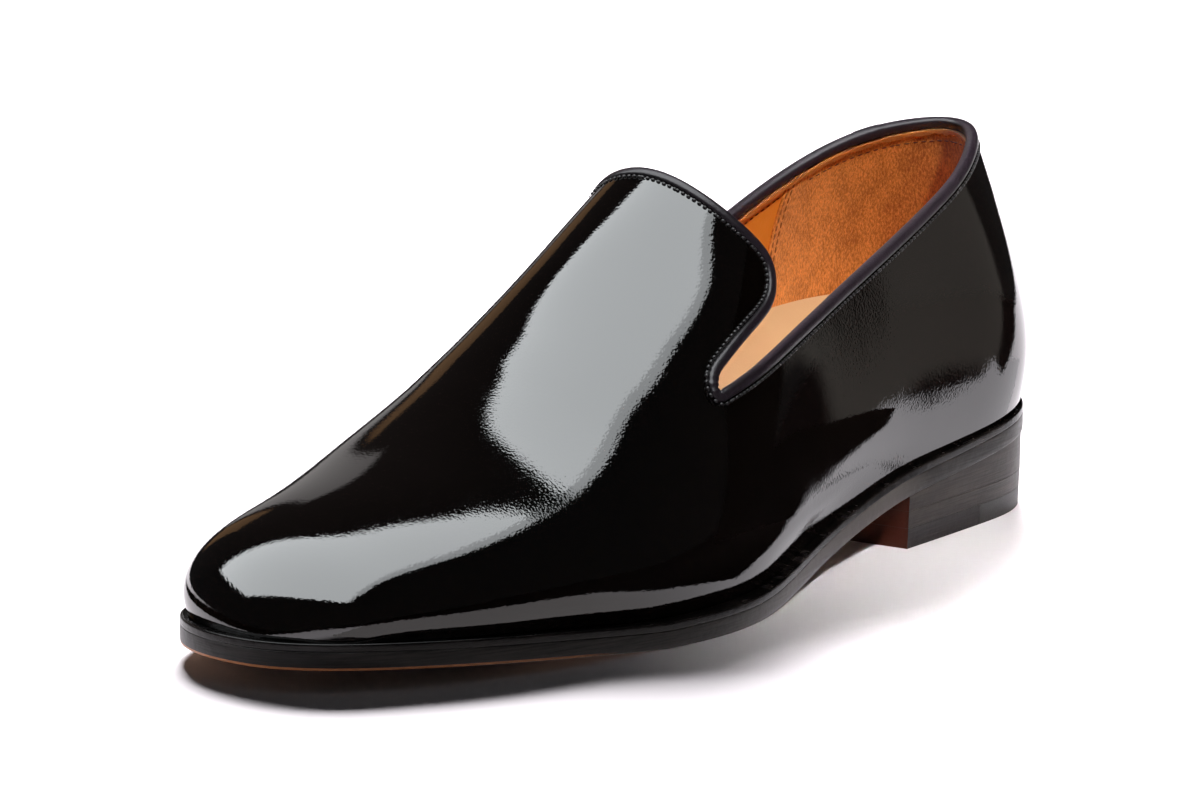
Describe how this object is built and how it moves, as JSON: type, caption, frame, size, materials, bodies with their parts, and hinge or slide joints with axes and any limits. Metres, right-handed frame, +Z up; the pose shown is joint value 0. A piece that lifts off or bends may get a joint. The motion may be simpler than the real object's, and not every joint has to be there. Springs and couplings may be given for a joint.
{
  "type": "venetian loafer",
  "caption": "Plain slip-on dress shoe in black patent leather with a bound topline, notched sides, a low tongue, a leather sole and a stacked heel.",
  "frame": {"origin": "centre of the bounding box at floor level", "axes": "+X from heel to toe, +Y to the wearer's left, which is the outer side of this left shoe, +Z up"},
  "size_m": [0.3011, 0.1048, 0.1029],
  "materials": {
    "upper": "black patent, mirror gloss",
    "topline_binding": "dark aubergine, satin",
    "back_strip": "black patent, mirror gloss",
    "insole": "light tan, smooth",
    "welt": "black, burnished",
    "outsole": "tan underneath with a black burnished edge",
    "heel_base": "black, burnished",
    "heel_lift": "black, burnished",
    "heel_top_piece": "black edge, burnished",
    "heel_rubber_tip": "matte"
  },
  "bodies": {
    "root": {"upper": "upper", "topline_binding": "topline_binding", "back_strip": "back_strip", "insole": "insole", "welt": "welt", "outsole": "outsole", "heel_base": "heel_base", "heel_lift": "heel_lift", "heel_top_piece": "heel_top_piece", "heel_rubber_tip": "heel_rubber_tip"}
  },
  "joints": []
}
